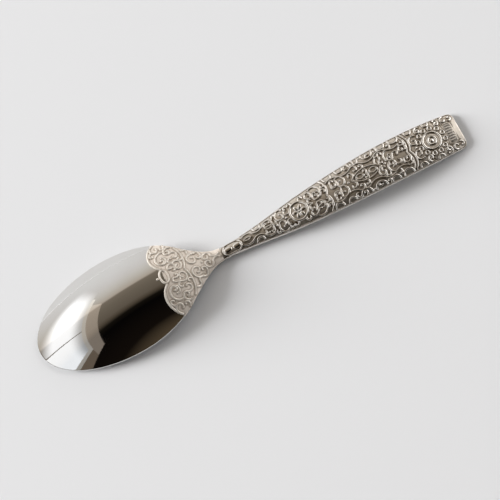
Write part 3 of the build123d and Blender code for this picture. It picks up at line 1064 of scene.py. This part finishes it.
def addTendrils():
    front = heelOvalX - tendrils["frontRun"]
    step = tendrils["grid"]
    spots = []
    for i in range(round((end - tendrils["endGap"] - front) / step)):
        x = front + i * step
        spots += [(x, j * step) for j in range(int(fieldAt(x) / step) + 1) if isFree(x, j * step)]
    spots = np.array(spots)
    taken = []
    for lines, dots in motifs.values():
        for line in lines:
            taken += line
        for dot in dots:
            taken += arc(*dot[0], tendrils["beadRing"], 0, 360)
    for i in range(int((end - front) / tendrils["edgeStep"])):
        x = front + tendrils["edgeStep"] * i
        taken.append((x, fieldAt(x) + tendrils["heelEdgeGap" if x < neck else "edgeGap"]))
    taken = np.array(taken)
    taken = np.vstack([taken, taken * [1, -1]])
    gaps = nearest(spots, taken)
    hand = 1
    for count in range(tendrils["most"]):
        room = np.minimum(gaps, spots[:, 1] + tendrils["axisGap"])
        room = np.where(spots[:, 0] < neck, room * tendrils["leastRoom"] / tendrils["heelRoom"], room)
        best = int(room.argmax())
        curls = room[best] > tendrils["leastRoom"]
        if not curls:
            best = int(gaps.argmax())
            if gaps[best] < tendrils["beadRoom"]:
                break
        x, y = (float(v) for v in spots[best])
        lines, dots = motifs[groupAt(x)]
        if curls:
            reach = np.hypot(taken[:, 0] - x, taken[:, 1] - y)
            root = int(reach.argmin())
            first = atan2(taken[root, 1] - y, taken[root, 0] - x)
            eye = tendrils["eye"]
            added = []
            for i in range(tendrils["points"] + 1):
                t = i / tendrils["points"]
                radius = reach[root] * (eye + (1 - eye) * (1 - t) ** tendrils["speed"])
                angle = first + hand * radians(tendrils["turn"]) * t
                added.append((x + radius * cos(angle), y + radius * sin(angle)))
            hand = -hand
            lines += bothSides([added])
        else:
            added = arc(x, y, tendrils["beadRing"], 0, 360)
            dots += [[(x, y)], [(x, -y)]] if y > 0 else [[(x, y)]]
        added = np.array(added)
        added = np.vstack([added, added * [1, -1]])
        gaps = np.minimum(gaps, nearest(spots, added))
        taken = np.vstack([taken, added])
    print("curls added:", count)


addTendrils()
markGround(bowlPiece, onHeel)
markGround(handlePiece, onField)
boss = ornament["bossShare"] * ornament["endRingRadius"]
solidForms = {
    "neck_panel": panelDomes(),
    "medallion_rosette": rosettePetals(),
    "end_boss": [beadMesh("boss", endRing, 0, boss, boss)],
    "end_plaque": [plaque()],
}
for nodeName, motif in motifs.items():
    raiseMotif(nodeName, motif, solidForms.get(nodeName, ()))
print("ornament raised")

# Floor, light and camera
floorFinish = {"colour": "#e4e5e7", "size": 6.0, "roughness": 0.6, "specular": 0.15}


def makeFloor():
    # A painted board, rolled matt: pale and even, with a soft shadow and hardly a sheen
    deselectAll()
    bpy.ops.mesh.primitive_plane_add(size=floorFinish["size"], location=(0, 0, 0))
    floor = bpy.context.object
    floor.name = "studio_floor"
    material, tree, shader = newMaterial("mattPaintedBoard")
    connect(tree, shader, {
        "Base Color": floorFinish["colour"], "Roughness": floorFinish["roughness"],
        "Specular IOR Level": floorFinish["specular"]})
    floor.data.materials.append(material)


# Wall tones of the studio as the metal shows them, from the dark side over the ceiling to the bright side.
# The window is upright and stands at windowAway along its azimuth. Each pane has its reach across the window,
# its reach in height, its glow and its colour. The first two dim at their head, and at their side and foot by
# fades. The dim ones soften the window's far sides.
studio = {
    "toBright": (-0.25, 0.97, 0.0), "strength": 1.25,
    "tones": [(0.06, "#443a2d"), (0.13, "#100c09"), (0.36, "#050404"), (0.43, "#120f0b"), (0.48, "#463e34"),
              (0.53, "#595147"), (0.68, "#665e53"), (0.755, "#70675c"), (0.778, "#a69d92"), (0.87, "#bab6b0"),
              (0.95, "#c7c5c4"), (1.0, "#cfcfcf")],
    "windowAzimuth": 168.0, "windowAway": 1.5, "headReach": 0.4, "headGlow": 0.38,
    "fades": [(0.5, 0.3), (0.001, 0.05)],
    "panes": [(-2.2, 0.22, 0.4, 1.66, 1.12, "#f5f9ff"), (0.26, 1.6, 0.4, 1.66, 1.12, "#f5f9ff"),
              (-1.6, 1.85, 1.66, 1.84, 0.42, "#f5f1ea"), (1.6, 1.85, 0.4, 1.66, 0.42, "#f5f1ea"),
              (-1.2, 2.6, 1.84, 2.6, 0.22, "#ffeedd"), (1.85, 2.6, 0.4, 1.84, 0.13, "#ffe6cc")],
    "keyPower": 170.0, "keySize": 1.4, "keyAway": 3.0, "keyAzimuth": 154.0, "keyHeight": 17.0,
    "skyPower": 0.5, "skySize": 2.2, "skyAway": 2.0,
    "cardAzimuth": 8.0, "cardHeight": 33.0, "cardAway": 1.5, "cardSize": (2.0, 0.95), "cardGlow": 1.8,
}


def makeWorld():
    world = bpy.data.worlds.new("studio")
    bpy.context.scene.world = world
    world.use_nodes = True
    tree = world.node_tree
    toward = addNode(tree, "ShaderNodeTexCoord").outputs["Generated"]
    across = addNode(tree, "ShaderNodeVectorMath", {"operation": "DOT_PRODUCT"}, {
        0: toward, 1: studio["toBright"]})
    share = addNode(tree, "ShaderNodeMapRange", None, {
        "Value": across.outputs["Value"], "From Min": -1.0, "From Max": 1.0})
    ramp = addNode(tree, "ShaderNodeValToRGB", None, {"Fac": share.outputs["Result"]})
    stops = ramp.color_ramp.elements
    stops[0].position = studio["tones"][0][0]
    stops[1].position = studio["tones"][-1][0]
    for place, _ in studio["tones"][1:-1]:
        stops.new(place)
    for stop, (place, tone) in zip(stops, studio["tones"]):
        stop.color = linearColour(tone)
    connect(tree, tree.nodes["Background"], {
        "Color": ramp.outputs["Color"], "Strength": studio["strength"]})


def directionOf(azimuth, height):
    a, e = radians(azimuth), radians(height)
    return Vector((cos(a) * cos(e), sin(a) * cos(e), sin(e)))


def addLamp(name, power, size, place, toward):
    # A soft panel whose face looks against the direction "toward"
    lamp = bpy.data.lights.new(name, "AREA")
    lamp.shape = "RECTANGLE"
    lamp.size, lamp.size_y = size
    lamp.energy = power
    obj = bpy.data.objects.new(name, lamp)
    obj.location = place
    obj.rotation_mode = "QUATERNION"
    obj.rotation_quaternion = toward.to_track_quat("Z", "Y")
    bpy.context.scene.collection.objects.link(obj)
    return obj


def fadePane(lamp, sideReach, footReach):
    # The pane dims towards its head, and to nothing over sideReach and footReach of its width and height
    lamp.use_nodes = True
    tree = lamp.node_tree
    spot = addNode(tree, "ShaderNodeNewGeometry").outputs["Parametric"]
    place = addNode(tree, "ShaderNodeSeparateXYZ", None, {"Vector": spot})
    head = addNode(tree, "ShaderNodeMapRange", {"interpolation_type": "SMOOTHSTEP"}, {
        "Value": place.outputs["Y"], "From Min": 1 - studio["headReach"], "From Max": 1.0,
        "To Min": 1.0, "To Max": studio["headGlow"]})
    glow = head.outputs["Result"]
    for axis, reach in (("X", sideReach), ("Y", footReach)):
        edge = addNode(tree, "ShaderNodeMapRange", {"interpolation_type": "SMOOTHSTEP"}, {
            "Value": place.outputs[axis], "From Min": 0.0, "From Max": reach})
        glow = addNode(tree, "ShaderNodeMath", {"operation": "MULTIPLY"}, {
            0: glow, 1: edge.outputs["Result"]}).outputs["Value"]
    connect(tree, tree.nodes["Emission"], {"Strength": glow})


def makeLamps():
    toward = directionOf(studio["windowAzimuth"], 0)
    across = Vector((-toward.y, toward.x, 0))
    for i, (first, last, foot, head, glow, colour) in enumerate(studio["panes"]):
        size = (last - first, head - foot)
        place = toward * studio["windowAway"] + across * (first + last) / 2
        place.z = (foot + head) / 2
        pane = addLamp(f"window_pane_{i}", glow * pi * size[0] * size[1], size, place, toward)
        pane.data.color = linearColour(colour)[:3]
        if i < len(studio["fades"]):
            fadePane(pane.data, *studio["fades"][i])
    toward = directionOf(studio["cardAzimuth"], studio["cardHeight"])
    power = studio["cardGlow"] * pi * studio["cardSize"][0] * studio["cardSize"][1]
    addLamp("white_card", power, studio["cardSize"], toward * studio["cardAway"], toward)
    toward = directionOf(studio["keyAzimuth"], studio["keyHeight"])
    key = addLamp("key_softbox", studio["keyPower"], (studio["keySize"], studio["keySize"]),
                  toward * studio["keyAway"], toward)
    toward = Vector((0, 0, 1))
    sky = addLamp("sky_softbox", studio["skyPower"], (studio["skySize"], studio["skySize"]),
                  toward * studio["skyAway"], toward)
    key.visible_glossy = sky.visible_glossy = False  # they light the table and aren't mirrored


photoView = {
    "azimuth": -10.0, "elevation": 71.0, "axisTurn": 28.0, "away": 420.0, "lens": 108.95,
    "right": 0.44, "up": -2.19, "clipStart": 0.01, "clipEnd": 20.0,
}


def makeCamera():
    # Rolled until the spoon's axis climbs by axisTurn in the picture
    turn, lift = radians(photoView["azimuth"]), radians(photoView["elevation"])
    levelRight = Vector((cos(turn), -sin(turn), 0))
    ahead = Vector((sin(turn), cos(turn), 0))
    back = -ahead * cos(lift) + Vector((0, 0, sin(lift)))
    levelUp = back.cross(levelRight)
    roll = radians(photoView["axisTurn"]) - atan2(levelUp.x, levelRight.x)
    right = levelRight * cos(roll) - levelUp * sin(roll)
    up = levelRight * sin(roll) + levelUp * cos(roll)
    target = (right * photoView["right"] + up * photoView["up"]) * mm
    camera = bpy.data.cameras.new("photo_camera")
    camera.lens = photoView["lens"]
    camera.clip_start, camera.clip_end = photoView["clipStart"], photoView["clipEnd"]
    obj = bpy.data.objects.new("photo_camera", camera)
    obj.location = target + back * photoView["away"] * mm
    obj.rotation_mode = "QUATERNION"
    obj.rotation_quaternion = Matrix((right, up, back)).transposed().to_quaternion()
    bpy.context.scene.collection.objects.link(obj)
    bpy.context.scene.camera = obj


makeFloor()
makeWorld()
makeLamps()
makeCamera()
bpy.context.scene.view_settings.view_transform = "Standard"
print("studio set")
